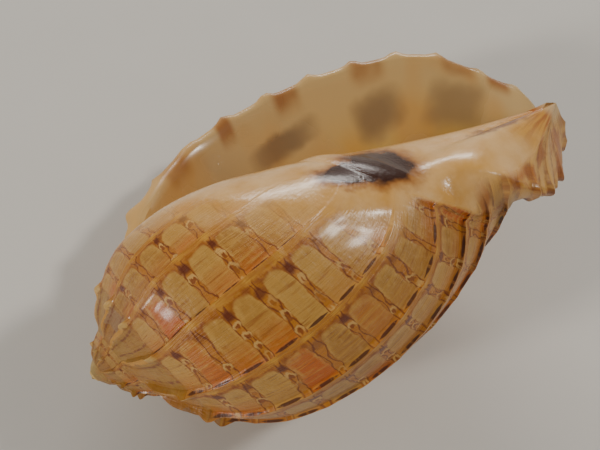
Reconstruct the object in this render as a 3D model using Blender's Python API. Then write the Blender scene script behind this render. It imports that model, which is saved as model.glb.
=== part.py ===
"""Rosy harp shell: one spiral shell, hollow behind its wide mouth.

The shell grew as one piece, so it is one solid. Its surface follows one rule: a growth
line, which runs row by row from the suture down to the front end, turns about the
shell's axis and swells as it turns. A point at turn t (radians) and row v lies at

    size(t) * (radius(v) at the angle -(t + sweep(v)), drop(v) below the tip of the spire).

Row 0 is the shoulder with its spines, row 10 the last row of the body, row 12 the crest
of the ridge round the front end and row 13 its inner edge, where the columella starts.
The suture is row SUTURE, which lies on the whorl before it at row JOIN.
Lengths are millimetres while the surface is worked out, and metres in the mesh.
"""

import math

import bmesh
import bpy
import numpy as np
from mathutils import Matrix

MM = 0.001
TURN = 2.0 * math.pi

# How the shell grows: its size is e to the power GROWTH times the turn.
GROWTH = 0.149
LIP = 3.92
MOUTH = LIP - TURN
RIBS = (-1.90, -1.40, -0.81, -0.45, 0.0, 0.54, 1.0, 1.40, 1.78, 2.22, 2.67, 3.0, 3.45, LIP)
SPIRE_START = MOUTH - 2.3 * TURN

# The growth line at turn 0: row, radius, drop, sweep in radians, and the flare of the lip.
SUTURE = -2.0
JOIN = 1.6
END = 13.0
OUTLINE = (
    (-1.0, 6.7, 5.95, 0.13, 0.05),
    (0.0, 8.5, 7.5, 0.15, 0.02),
    (2.0, 11.5, 11.95, 0.06, 0.08),
    (4.0, 12.5, 18.4, 0.00, 0.075),
    (6.0, 11.6, 24.8, -0.065, 0.075),
    (8.0, 9.25, 29.95, -0.21, 0.08),
    (10.0, 6.2, 32.6, -0.73, 0.08),
    (12.0, 5.9, 32.2, -1.55, 0.0),
    (12.5, 4.6, 32.75, -1.50, 0.0),
    (END, 2.5, 32.4, -1.35, 0.0),
)
FLARE_RUN = 0.4
# How far the lip rises at the shoulder.
SHOULDER_LIFT = 0.5

# Relief, at turn 0.
RIB_HEIGHT = 0.26
RIDGE_RIB_HEIGHT = 0.2
RIB_TOP = 0.12
RIB_SLOPE = 0.30
STEEP_SIDE = 0.03
SPINE = 0.7
SPINE_HALF_WIDTH = 0.45
CALLUS = 0.25
# Where the callus starts: turn and row. It covers the rows below.
CALLUS_EDGE = ((MOUTH, 1.6), (-1.4, 2.4), (0.0, 6.3), (0.54, 7.7), (1.4, 10.2), (2.67, 12.2), (LIP, 13.0))
# The callus pad at the middle of the inner side: turn, row, their spreads, and extra thickness.
PAD = (-0.5, 10.5, 0.8, 2.6, 0.9)
# Under the callus the surface runs from row CAST_OFF straight towards the tip of the columella,
# and covers this part of the way by row END. The ridge comes out over a stretch of turn, from
# these turns at its outer side and from the second pair at its inner edge.
CAST_OFF = 9.2
CAST = 0.14
RIDGE_SHOWS = (1.4, 2.9)
EDGE_SHOWS = (-0.8, 2.0)
# The inner edge of the ridge before the last quarter turn: radius, drop and sweep.
INNER_EDGE = (4.2, 32.9, -1.6)
COLUMELLA_SAG = 0.02

# The tip of the spire.
TIP_DROP = 0.35

# The wall and the hollow, at the lip.
WALL = 1.6
LIP_WALL = 1.2
CORNER = 0.55
CANAL_WALL = 0.5
# Behind the open end of the canal, the inside runs straight from this row to the canal floor.
CANAL_START = 10.5
CANAL_OPEN = 0.5
DEPTH = 5.6

# How it lies: turned about its axis, then on its back with the front end raised by some degrees.
LIE_TURN = 21.0
FRONT_RAISED = 12.0
# From the tip of the spire to the origin, which is the middle of the box round the shell, on the floor.
SHIFT = (-30.0, -3.43, 13.39)


def smooth(x):
    """0 below 0, 1 above 1, and a smooth S between."""
    x = np.clip(x, 0.0, 1.0)
    return x * x * (3.0 - 2.0 * x)


def through(knots, values, x):
    """A smooth curve through the values at the knots: cubics with slopes from the neighbours."""
    knots = np.asarray(knots)
    values = np.asarray(values)
    slope = np.gradient(values, knots)
    i = np.clip(np.searchsorted(knots, x, side="right") - 1, 0, len(knots) - 2)
    gap = knots[i + 1] - knots[i]
    u = (x - knots[i]) / gap
    rise = values[i + 1] - values[i]
    start = slope[i] * gap
    stop = slope[i + 1] * gap
    return values[i] + u * (start + u * (3 * rise - 2 * start - stop + u * (start + stop - 2 * rise)))


def suture_knot():
    """The outline's first knot: row JOIN of the whorl before, one turn smaller."""
    rows = [knot[0] for knot in OUTLINE]
    radius, drop, sweep = (float(through(rows, [k[i] for k in OUTLINE], JOIN)) for i in (1, 2, 3))
    shrink = math.exp(-GROWTH * TURN)
    return (SUTURE, radius * shrink, drop * shrink, sweep, 0.0)


KNOTS = (suture_knot(),) + OUTLINE


def growth_line(v):
    """Radius, drop, sweep and flare at row v."""
    rows = [knot[0] for knot in KNOTS]
    return [through(rows, [knot[i] for knot in KNOTS], v) for i in (1, 2, 3, 4)]


def size(t):
    """How large the shell had grown at turn t, with 1 at turn 0."""
    return np.exp(GROWTH * t)


def spun(t, radius, drop, sweep):
    """The point of a growth line at turn t."""
    angle = -(t + sweep)
    side = np.cos(angle), np.sin(angle)
    return size(t)[..., None] * np.stack([radius * side[0], radius * side[1], -drop + 0.0 * t], axis=-1)


def ridged(t, v):
    """The surface with the ridge all along. The last stretch before the lip flares outwards."""
    radius, drop, sweep, flare = growth_line(v)
    opening = np.clip((t - LIP + FLARE_RUN) / FLARE_RUN, 0.0, 1.0) ** 2
    radius = radius * (1.0 + flare * opening)
    drop = drop - SHOULDER_LIFT * opening * np.exp(-((v / 1.1) ** 2))
    edge = smooth(LIP - t) * smooth(v - END + 1.0)
    radius = radius + edge * (INNER_EDGE[0] - radius)
    drop = drop + edge * (INNER_EDGE[1] - drop)
    sweep = sweep + edge * (INNER_EDGE[2] - sweep)
    return spun(t, radius, drop, sweep)


def canal_floor(t):
    """Where the inside of the outer wall meets the columella, close to the axis."""
    radius, drop, sweep = OUTLINE[-1][1:4]
    return spun(t, 0.85 * radius, drop - CANAL_WALL, sweep)


def columella_foot(t):
    """The front end of the columella: the shell's tip, or the canal floor one turn on."""
    tip = ridged(np.full(t.shape, LIP), np.full(t.shape, END))
    return np.where((t > MOUTH + 1e-6)[..., None], tip, canal_floor(t + TURN))


def bare(t, v):
    """The surface without relief: ridged, or running towards the tip where callus covers the ridge."""
    t, v = np.broadcast_arrays(t, v)
    inner = smooth((v - 11.0) / (END - 11.0))
    begin, end = (RIDGE_SHOWS[i] + inner * (EDGE_SHOWS[i] - RIDGE_SHOWS[i]) for i in (0, 1))
    shown = smooth((t - begin) / (end - begin))[..., None]
    start = ridged(t, np.full(t.shape, CAST_OFF))
    part = CAST * np.clip((v - CAST_OFF) / (END - CAST_OFF), 0.0, 1.0)[..., None]
    healed = start + (columella_foot(t) - start) * part
    points = ridged(t, v)
    return np.where((v > CAST_OFF)[..., None], points * shown + healed * (1.0 - shown), points)


def outward(t, v):
    """Unit normals of the bare surface, from small steps along and across the growth lines."""
    step = 0.01
    across = bare(t + step, v) - bare(t - step, v)
    along = bare(t, np.minimum(v + step, END)) - bare(t, np.maximum(v - step, SUTURE))
    normal = np.cross(across, along)
    return normal / np.linalg.norm(normal, axis=-1, keepdims=True)


def away_from_axis(t, v):
    """Unit vectors from the shell's axis towards the surface."""
    angle = -(t + growth_line(v)[2])
    return np.stack([np.cos(angle), np.sin(angle), np.zeros(angle.shape)], axis=-1)


def covered(t, v):
    """1 under the callus and inside the mouth, 0 on the open outside."""
    turns = [edge[0] for edge in CALLUS_EDGE]
    rows = [edge[1] for edge in CALLUS_EDGE]
    return smooth((v - np.interp(t, turns, rows)) / 0.9)


def rib(t):
    """1 on a rib's top, which starts at its steep older side, sloping to 0 on the growing side."""
    turn = LIP - np.mod(LIP - t, TURN)
    starts = np.array((MOUTH,) + RIBS[:-1])
    stops = np.array(RIBS)
    i = np.clip(np.searchsorted(stops, turn - 1e-6), 0, len(stops) - 1)
    after = (turn - starts[i]) / (stops[i] - starts[i])
    top = 1.0 - smooth((after - RIB_TOP) / RIB_SLOPE)
    return np.where(np.isclose(turn, stops[i], atol=1e-6), 1.0, top)


def outside(t, v):
    """The outside with its ribs, the spines at the shoulder, and the callus."""
    t, v = np.broadcast_arrays(np.asarray(t, float), np.asarray(v, float))
    cover = covered(t, v)
    grown = smooth((t - SPIRE_START) / TURN - 0.8)
    stand = rib(t) * grown * (1.0 - cover)
    ridge = smooth((v - 10.8) / 0.8)
    fade = smooth((v - SUTURE) / 0.8) * (1.0 - 0.6 * smooth(v - 12.0))
    pad = PAD[4] * np.exp(-(((t - PAD[0]) / PAD[2]) ** 2) - ((v - PAD[1]) / PAD[3]) ** 2)
    height = (RIB_HEIGHT + ridge * (RIDGE_RIB_HEIGHT - RIB_HEIGHT)) * stand * fade + CALLUS * cover
    spike = np.clip(1.0 - np.abs(v) / SPINE_HALF_WIDTH, 0.0, 1.0) * np.clip(stand * 3.0 - 2.0, 0.0, 1.0)
    pointing = np.stack([np.cos(t), -np.sin(t), np.full(t.shape, 1.0)], axis=-1) / math.sqrt(2.0)
    front = (away_from_axis(t, v) - np.array((0.0, 0.0, 1.0))) / math.sqrt(2.0)
    normal = outward(t, v) * (1.0 - ridge)[..., None] + front * ridge[..., None]
    relief = normal * height[..., None] + pointing * (SPINE * spike)[..., None]
    relief = relief + away_from_axis(t, v) * (pad * cover)[..., None]
    return bare(t, v) + relief * size(t)[..., None]


def columella(t, w):
    """From the ridge's inner edge (w = 0) to the tip or the canal floor (w = 1), slightly hollow."""
    top = outside(t, END)
    tip = outside(np.full(t.shape, LIP), END)
    foot = np.where((t > MOUTH + 1e-6)[..., None], tip, canal_floor(t + TURN))
    across = foot - top
    length = np.linalg.norm(across, axis=-1)
    inward = -away_from_axis(t, np.full(t.shape, END))
    sag = COLUMELLA_SAG * length * 4.0 * w * (1.0 - w)
    return top + across * w[..., None] + inward * sag[..., None]


def inside(t, v):
    """The inner side of the outer wall, from the whorl before to the canal floor."""
    wall = WALL + (LIP_WALL - WALL) * smooth((t - LIP + 0.5) / 0.5)
    thick = wall * size(t - LIP) * smooth((v - SUTURE + 0.2) / 1.0)
    points = bare(t, v) - outward(t, v) * thick[..., None]
    turned_in = np.full(v.shape, CANAL_START)
    start = bare(t, turned_in) - outward(t, turned_in) * (wall * size(t - LIP))[..., None]
    part = np.clip((v - CANAL_START) / (END - CANAL_START), 0.0, 1.0)[..., None]
    straight = (smooth((LIP - CANAL_OPEN - t) / CANAL_OPEN) * (v > CANAL_START))[..., None]
    points = points + straight * (start + (canal_floor(t) - start) * part - points)
    points = np.where((v < SUTURE + 1e-6)[..., None], outside(t - TURN, JOIN + CORNER), points)
    return np.where((v > END - 1e-6)[..., None], canal_floor(t), points)


def whorl_turns():
    """The turns of the mesh's columns round one whorl: five to a rib, two of them at its steep side."""
    turns = []
    for start, stop in zip((MOUTH,) + RIBS[:-1], RIBS):
        turns += [start + (stop - start) * part for part in (0.0, 0.12, 0.38, 0.7)]
        turns.append(stop - STEEP_SIDE)
    return np.array(turns)


def grid(surface, turns, rows):
    """Points of a surface at each turn and row."""
    t, v = np.meshgrid(turns, rows, indexing="ij")
    return surface(t, v)


class Skin:
    """Collects grids of points as one mesh, which share their common edges once merged."""

    def __init__(self):
        self.mesh = bmesh.new()

    def add(self, points):
        """Adds a grid of points (columns, rows, 3) with a face in each cell."""
        verts = [[self.mesh.verts.new(point * MM) for point in column] for column in points]
        for left, right in zip(verts[:-1], verts[1:]):
            for i in range(len(left) - 1):
                self.mesh.faces.new((left[i], right[i], right[i + 1], left[i + 1]))

    def cap(self, loop, pole, bulge):
        """Closes a loop of points over a pole, with one ring between that is pushed out by bulge."""
        ring = loop + (pole - loop) * 0.5 + bulge
        self.add(np.stack([loop, ring, np.broadcast_to(pole, loop.shape)], axis=1))

    def closed(self):
        """Merges the common edges, turns the faces outwards and returns the mesh."""
        bmesh.ops.remove_doubles(self.mesh, verts=self.mesh.verts, dist=1e-7)
        bmesh.ops.dissolve_degenerate(self.mesh, edges=self.mesh.edges, dist=1e-7)
        bmesh.ops.recalc_face_normals(self.mesh, faces=self.mesh.faces)
        return self.mesh


def build_skin():
    """All grids of the shell: spire, body, columella, lip, hollow, and the two closed ends."""
    skin = Skin()
    above = np.array([SUTURE, -1.2, -0.45, 0.0, 0.45, 1.0, JOIN])
    corner = np.array([JOIN, JOIN + 0.5 * CORNER, JOIN + CORNER])
    below = np.array([JOIN + CORNER, 3.0, 4.0, 5.0, 6.0, 7.0, 8.0, 9.0, 10.0, 10.8, 11.5, 12.2, END])
    down = np.linspace(0.0, 1.0, 7)

    whorl = whorl_turns()
    spire = np.concatenate([whorl - 3 * TURN, whorl - 2 * TURN, whorl - TURN, [MOUTH]])
    spire = spire[spire > SPIRE_START]
    body = np.append(whorl, LIP)
    hollow = np.linspace(LIP - DEPTH, LIP, 34)

    def joined(turns, rows):
        """The outside, whose suture is the very edge of the whorl before."""
        points = grid(outside, turns, rows)
        on_suture = rows < SUTURE + 1e-6
        points[:, on_suture] = grid(outside, turns - TURN, np.full(on_suture.sum(), JOIN))
        return points

    first_lap = spire < spire[0] + TURN - 1e-6
    rows = np.concatenate([above, corner[1:], below[1:]])
    skin.add(joined(spire, above))
    skin.add(joined(body, rows))
    skin.add(grid(columella, body, down))

    outer = joined(np.array([LIP]), rows)[0]
    inner = grid(inside, np.array([LIP]), rows)[0]
    ahead = bare(np.full(rows.shape, LIP + 0.02), rows) - bare(np.full(rows.shape, LIP), rows)
    middle = 0.5 * (outer + inner) + ahead
    middle[0] = outside(np.array(MOUTH), np.array(JOIN + 0.5 * CORNER))
    middle[-1] = outer[-1]
    skin.add(np.stack([outer, middle, inner], axis=1))

    skin.add(grid(inside, hollow, rows))
    skin.add(grid(outside, hollow - TURN, below))
    skin.add(grid(columella, hollow - TURN, down))

    end = hollow[:1]
    wall_side = grid(inside, end, rows)[0]
    axis_side = np.concatenate([grid(outside, end - TURN, below)[0], grid(columella, end - TURN, down)[0][1:]])
    loop = np.concatenate([wall_side, axis_side[::-1][1:]])
    deeper = grid(inside, end - 0.3, rows)[0].mean(axis=0)
    skin.cap(loop, deeper, 0.0)

    start = spire[:1]
    edge = joined(spire[first_lap], np.array([SUTURE]))[:, 0]
    back = joined(start, above)[0][::-1]
    loop = np.concatenate([edge, back])
    top = np.array((0.0, 0.0, -TIP_DROP))
    skin.cap(loop, top, np.array((0.0, 0.0, 0.12)))
    return skin.closed()


def rest_pose():
    """From the shell's own axes to the way it lies, with its mouth upwards."""
    turned = Matrix.Rotation(math.radians(-LIE_TURN), 4, "Z")
    laid = Matrix.Rotation(math.radians(-90.0 - FRONT_RAISED), 4, "Y")
    return Matrix.Translation([shift * MM for shift in SHIFT]) @ laid @ turned


def flatten(skin):
    """Cuts off what reaches below the floor, so the ribs it lies on get small flat spots."""
    everything = skin.verts[:] + skin.edges[:] + skin.faces[:]
    cut = bmesh.ops.bisect_plane(skin, geom=everything, plane_no=(0.0, 0.0, -1.0), clear_outer=True, dist=1e-7)
    rims = [item for item in cut["geom_cut"] if isinstance(item, bmesh.types.BMEdge)]
    bmesh.ops.edgeloop_fill(skin, edges=rims)


def shell_material():
    """Glossy shell, tan with an orange tone."""
    material = bpy.data.materials.new("glossy_tan_shell")
    material.use_nodes = True
    surface = material.node_tree.nodes["Principled BSDF"]
    surface.inputs["Base Color"].default_value = (0.62, 0.36, 0.15, 1.0)
    surface.inputs["Roughness"].default_value = 0.3
    surface.inputs["Metallic"].default_value = 0.0
    return material


def make_shell():
    """The shell as one object."""
    skin = build_skin()
    skin.transform(rest_pose())
    flatten(skin)
    data = bpy.data.meshes.new("shell")
    skin.to_mesh(data)
    skin.free()
    data.shade_smooth()
    data.set_sharp_from_angle(angle=math.radians(50))
    data.materials.append(shell_material())
    shell = bpy.data.objects.new("shell", data)
    bpy.context.collection.objects.link(shell)
    return shell


def main():
    for old in list(bpy.data.objects):
        bpy.data.objects.remove(old, do_unlink=True)
    make_shell()


main()
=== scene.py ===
"""Rosy harp shell on a pale floor, seen from above its mouth.

The whole shell is one skin. A growth line, which runs row by row from the suture down to
the front end, turns about the shell's axis and swells as it turns. A point at turn t
(radians) and row v lies at

    size(t) * (radius(v) at the angle -(t + sweep(v)), drop(v) below the tip of the spire).

Row 0 is the shoulder with its spines, row 10 the last row of the body, row 12 the crest of
the ridge round the front end and row 13 its inner edge, where the columella starts.
Lengths are millimetres while the surface is worked out, and metres in the mesh.
"""

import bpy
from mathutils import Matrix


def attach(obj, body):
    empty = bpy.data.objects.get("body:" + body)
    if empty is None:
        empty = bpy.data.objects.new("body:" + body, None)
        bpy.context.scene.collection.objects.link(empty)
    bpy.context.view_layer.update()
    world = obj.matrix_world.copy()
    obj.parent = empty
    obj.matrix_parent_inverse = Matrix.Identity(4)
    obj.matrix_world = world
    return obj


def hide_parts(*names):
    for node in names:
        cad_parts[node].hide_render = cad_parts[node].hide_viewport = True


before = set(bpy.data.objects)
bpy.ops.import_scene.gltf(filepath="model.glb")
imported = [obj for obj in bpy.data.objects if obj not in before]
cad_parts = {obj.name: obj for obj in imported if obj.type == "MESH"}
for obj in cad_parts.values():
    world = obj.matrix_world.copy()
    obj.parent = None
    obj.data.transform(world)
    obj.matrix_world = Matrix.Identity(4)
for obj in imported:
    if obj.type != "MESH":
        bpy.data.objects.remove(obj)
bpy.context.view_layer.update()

import functools
import math
import types

import bmesh
import bpy
import numpy as np
from mathutils import Matrix, Vector

MM = 0.001
TURN = 2.0 * math.pi

# How the shell grows: its size is e to the power GROWTH times the turn. The ribs' turns repeat lap by lap.
GROWTH = 0.149
LIP = 3.92
MOUTH = LIP - TURN
RIBS = (-1.90, -1.40, -0.81, -0.45, 0.0, 0.54, 1.0, 1.40, 1.78, 2.22, 2.67, 3.0, 3.45, LIP)
SPIRE_START = MOUTH - 2.3 * TURN

# The growth line at turn 0: row, radius, drop, sweep in radians, and the flare of the lip.
SUTURE = -2.0
JOIN = 1.6
END = 13.0
OUTLINE = (
    (-1.0, 6.7, 5.95, 0.13, 0.05),
    (0.0, 8.5, 7.5, 0.15, 0.02),
    (2.0, 11.5, 11.95, 0.06, 0.08),
    (4.0, 12.5, 18.4, 0.00, 0.075),
    (6.0, 11.6, 24.8, -0.065, 0.075),
    (8.0, 9.25, 29.95, -0.21, 0.08),
    (10.0, 6.2, 32.6, -0.73, 0.08),
    (12.0, 5.9, 32.2, -1.55, 0.0),
    (12.5, 4.6, 32.75, -1.50, 0.0),
    (END, 2.5, 32.4, -1.35, 0.0),
)
# The stretch of turn before the lip that flares, and the shoulder's rise and spread there.
FLARE_RUN = 0.4
SHOULDER_LIFT = 0.5
SHOULDER_SPREAD = 1.1

# The ribs at turn 0: heights in millimetres, widths as parts of the way to the next rib.
RIB_HEIGHT = 0.27
RIDGE_RIB_HEIGHT = 0.2
RIB_TOP = 0.12
RIB_SLOPE = 0.30
STEEP_SIDE = 0.04
# A rib's thin raised edge: its width, and its height as a part of the rib's.
RIB_EDGE = 0.05
EDGE_RISE = 0.22
# Ribs are higher by this part above the shoulder, and lower by the next past row 12.
RAMP_RIBS = 0.8
INNER_RIB_LOSS = 0.6
# A rib's beads, one at each row: height, half width in rows, and what the last stretch of turn adds.
BEAD = 0.05
BEAD_HALF = 0.14
LIP_BEAD = 0.22
LIP_BEAD_RUN = 0.07

# The spines: length, the part added to it on the spire, half width in rows, and thickness.
SPINE = 0.65
SPIRE_SPINE = 0.7
SPINE_HALF = 0.5
SPINE_THICK = 0.18

# The front ridge: where it starts and over how many rows it rises. Then its thin lamellae: their
# height, how many there are to a rib, and the same rows for them.
RIDGE_START = 10.8
RIDGE_RISE = 0.8
LAMELLA = 0.26
LAMELLAE = 2.0
LAMELLA_START = 11.0
LAMELLA_RISE = 0.6

# The callus: its thickness, and the turns and rows of its edge. It covers the rows below.
CALLUS = 0.25
CALLUS_EDGE = ((MOUTH, 1.6), (-1.4, 2.4), (0.0, 6.3), (0.54, 7.7), (1.4, 10.2), (2.67, 12.2), (LIP, 13.0))
# Over this many rows it becomes whole and takes this part off the ribs. Over more they sink away.
CALLUS_RISE = 0.9
COVERED_RIB_LOSS = 0.85
RIB_SINK = 3.5
# Where its glaze starts to colour the surface, past row END on the columella.
GLAZE_EDGE = ((MOUTH, 1.4), (-1.4, 2.6), (-0.47, 5.0), (0.09, 6.8), (0.61, 7.9), (0.83, 9.4),
              (1.3, 10.8), (1.7, 11.3), (2.43, 11.9), (2.7, 12.7), (3.0, 14.0), (LIP, 15.0))
# Its haze starts this many rows above that edge, and it is whole this many rows below.
HAZE_ROWS = ((MOUTH, 0.0), (-1.4, 1.5), (0.5, 1.5), (1.0, 0.0))
GLAZE_ROWS = ((0.3, 1.4), (1.0, 0.5))
# The columella counts as this many rows for the glaze.
COLUMELLA_ROWS = 1.6
# The callus pad at the middle of the inner side: turn, row, their spreads, and extra thickness.
PAD = (-0.5, 10.5, 0.8, 2.6, 0.9)
# Under the callus the surface runs from row CAST_OFF straight towards the tip of the columella,
# and covers this part of the way by row END. The ridge comes out between two turns at its outer
# side, and between two others at its inner edge.
CAST_OFF = 9.2
CAST = 0.14
RIDGE_SHOWS = (1.4, 2.9)
EDGE_SHOWS = (-0.8, 2.0)
# The radius, drop and sweep of the ridge's inner edge away from the lip.
INNER_EDGE = (4.2, 32.9, -1.6)
# The columella's hollow as a part of its length, and the drop of the spire's tip.
COLUMELLA_SAG = 0.02
TIP_DROP = 0.35

# The wall, inside and over the last stretch before the lip, and its corner with the whorl before.
WALL = 1.6
LIP_WALL = 1.2
LIP_WALL_RUN = 0.5
CORNER = 0.55
# The canal's floor: its wall, and its radius as a part of the inner edge's. Behind the canal's open
# end, a stretch of turn, the inside runs straight from a row to the floor.
CANAL_WALL = 0.5
CANAL_CLOSE = 0.85
CANAL_OPEN = 0.5
CANAL_START = 10.5
# The hollow's depth in radians, and how much deeper the middle of its end lies.
DEPTH = 5.6
END_BULGE = 0.3
# How far the lip's round rim, its tooth at each row and its front tooth stand forward, in radians
# of turn, and the teeth's half widths in rows. The step shows which way is forward.
RIM_STEP = 0.02
RIM_BULGE = 0.018
LIP_TEETH = 0.026
TOOTH_HALF = 0.16
FRONT_TOOTH = 0.03
FRONT_TOOTH_ROW = 10.0
FRONT_TOOTH_HALF = 0.35

# How it lies: turned about its axis, then on its back with the front end raised by some degrees.
LIE_TURN = 21.0
FRONT_RAISED = 12.0
SHIFT = (-30.0, -3.43, 13.39)

# The mesh's columns between two ribs, as parts of the way, close together at the steep side.
PHASES = (0.0, 0.02, 0.045, 0.08, 0.12, 0.17, 0.22, 0.28, 0.34, 0.40, 0.47, 0.54,
          0.61, 0.68, 0.75, 0.82, 0.885, 0.935, 0.96, 0.98)
# The rib count and row that the caps take, and the mesh's two material slots.
CAP_GROWTH = (-30.0, -1.0)
OUTER, ENAMEL = 0, 1
# How far a pass moves a soft point to its neighbours' mean, and the number of passes.
SOFTENING = 0.6
SOFT_PASSES = 60
# Turns and rows closer than this count as equal.
NEAR = 1e-6


def smooth(x):
    """0 below 0, 1 above 1, and a smooth S between."""
    x = np.clip(x, 0.0, 1.0)
    return x * x * (3.0 - 2.0 * x)


def bell(x):
    """1 at 0, falling off as e to the power of minus x squared."""
    return np.exp(-(x ** 2))


def through(knots, values, x):
    """A smooth curve through the values at the knots: cubics with slopes from the neighbours."""
    knots = np.asarray(knots)
    values = np.asarray(values)
    slope = np.gradient(values, knots)
    i = np.clip(np.searchsorted(knots, x, side="right") - 1, 0, len(knots) - 2)
    gap = knots[i + 1] - knots[i]
    u = (x - knots[i]) / gap
    rise = values[i + 1] - values[i]
    start = slope[i] * gap
    stop = slope[i + 1] * gap
    return values[i] + u * (start + u * (3 * rise - 2 * start - stop + u * (start + stop - 2 * rise)))


def suture_knot():
    """The outline's first knot: row JOIN of the whorl before, one turn smaller."""
    rows = [knot[0] for knot in OUTLINE]
    radius, drop, sweep = (float(through(rows, [k[i] for k in OUTLINE], JOIN)) for i in (1, 2, 3))
    shrink = math.exp(-GROWTH * TURN)
    return (SUTURE, radius * shrink, drop * shrink, sweep, 0.0)


KNOTS = (suture_knot(),) + OUTLINE


def growth_line(v):
    """Radius, drop, sweep and flare at row v."""
    rows = [knot[0] for knot in KNOTS]
    return [through(rows, [knot[i] for knot in KNOTS], v) for i in (1, 2, 3, 4)]


def size(t):
    """How large the shell had grown at turn t: e to the power GROWTH t."""
    return np.exp(GROWTH * t)


def spun(t, radius, drop, sweep):
    """A growth line's point at turn t: size(t) times the radius at the angle -(t + sweep), drop down."""
    angle = -(t + sweep)
    point = np.stack([radius * np.cos(angle), radius * np.sin(angle), -drop + 0.0 * t], axis=-1)
    return size(t)[..., None] * point


def ridged(t, v):
    """The surface with the ridge all along. The last stretch before the lip flares outwards."""
    radius, drop, sweep, flare = growth_line(v)
    opening = np.clip((t - LIP + FLARE_RUN) / FLARE_RUN, 0.0, 1.0) ** 2
    radius = radius * (1.0 + flare * opening)
    drop = drop - SHOULDER_LIFT * opening * bell(v / SHOULDER_SPREAD)
    edge = smooth(LIP - t) * smooth(v - END + 1.0)
    radius = radius + edge * (INNER_EDGE[0] - radius)
    drop = drop + edge * (INNER_EDGE[1] - drop)
    sweep = sweep + edge * (INNER_EDGE[2] - sweep)
    return spun(t, radius, drop, sweep)


def canal_floor(t):
    """Where the inside of the outer wall meets the columella, close to the axis."""
    radius, drop, sweep = OUTLINE[-1][1:4]
    return spun(t, CANAL_CLOSE * radius, drop - CANAL_WALL, sweep)


def columella_foot(t):
    """The front end of the columella: the shell's tip, or the canal floor one turn on."""
    tip = ridged(np.full(t.shape, LIP), np.full(t.shape, END))
    return np.where((t > MOUTH + NEAR)[..., None], tip, canal_floor(t + TURN))


def bare(t, v):
    """The surface without relief: ridged, or running towards the tip where callus covers the ridge."""
    t, v = np.broadcast_arrays(t, v)
    inner = smooth((v - 11.0) / (END - 11.0))
    begin, end = (RIDGE_SHOWS[i] + inner * (EDGE_SHOWS[i] - RIDGE_SHOWS[i]) for i in (0, 1))
    shown = smooth((t - begin) / (end - begin))[..., None]
    start = ridged(t, np.full(t.shape, CAST_OFF))
    part = CAST * np.clip((v - CAST_OFF) / (END - CAST_OFF), 0.0, 1.0)[..., None]
    healed = start + (columella_foot(t) - start) * part
    points = ridged(t, v)
    return np.where((v > CAST_OFF)[..., None], points * shown + healed * (1.0 - shown), points)


def outward(t, v):
    """Unit normals of the bare surface, from small steps along and across the growth lines."""
    step = 0.01
    across = bare(t + step, v) - bare(t - step, v)
    along = bare(t, np.minimum(v + step, END)) - bare(t, np.maximum(v - step, SUTURE))
    normal = np.cross(across, along)
    return normal / np.linalg.norm(normal, axis=-1, keepdims=True)


def glazed(t, v):
    """The glaze: 0 on the open outside, rising from its haze to 1 some rows below its edge."""
    haze = row_at(HAZE_ROWS, t)
    return smooth((v - row_at(GLAZE_EDGE, t) + haze) / (haze + row_at(GLAZE_ROWS, t)))


def away_from_axis(t, v):
    """Unit vectors from the shell's axis towards the surface."""
    angle = -(t + growth_line(v)[2])
    return np.stack([np.cos(angle), np.sin(angle), np.zeros(angle.shape)], axis=-1)


def row_at(edge, t):
    """The row that an edge, given as turns and rows, has at turn t: straight from knot to knot."""
    turns, rows = zip(*edge)
    return np.interp(t, turns, rows)


def rib_count(t):
    """The ribs grown by turn t, from the mouth's start on, with the part of the way to the next."""
    laps = np.ceil((MOUTH - t) / TURN - 1e-9).clip(0.0)
    return np.interp(t + laps * TURN, (MOUTH,) + RIBS, range(len(RIBS) + 1)) - laps * len(RIBS)


def past_rib(count):
    """How far a point lies past a rib, from 0 at its edge to 1 at the next. A whole count is 0."""
    return np.mod(count + 1e-7, 1.0)


def steep_side(after):
    """Rises from 0 to 1 on the short, steep older side of the next rib."""
    return smooth((after - 1.0 + STEEP_SIDE) / STEEP_SIDE)


def rib(count):
    """A rib's height: a steep older side, a thin raised edge, a flat top at 1, then a long slope."""
    after = past_rib(count)
    top = 1.0 - smooth((after - RIB_TOP) / RIB_SLOPE)
    return np.maximum(top + EDGE_RISE * bell(after / RIB_EDGE), (1.0 + EDGE_RISE) * steep_side(after))


def spines(t, v, count):
    """How far the spines stand out at the shoulder: a smooth peak at row 0, on each rib's edge."""
    after = past_rib(count)
    fold = np.maximum(1.0 - smooth(after / SPINE_THICK), steep_side(after))
    older = smooth(0.5 * (MOUTH - t))
    return SPINE * smooth(1.0 - np.abs(v) / SPINE_HALF) * fold * (1.0 + SPIRE_SPINE * older)


def beads(t, v):
    """The beads' height on the ribs: bells about the whole rows, from row 1 to row 10."""
    height = BEAD + LIP_BEAD * smooth((t - LIP + LIP_BEAD_RUN) / LIP_BEAD_RUN)
    return height * smooth((v - 0.5) / 0.5) * smooth(11.0 - v) * bell((v - np.round(v)) / BEAD_HALF)


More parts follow.
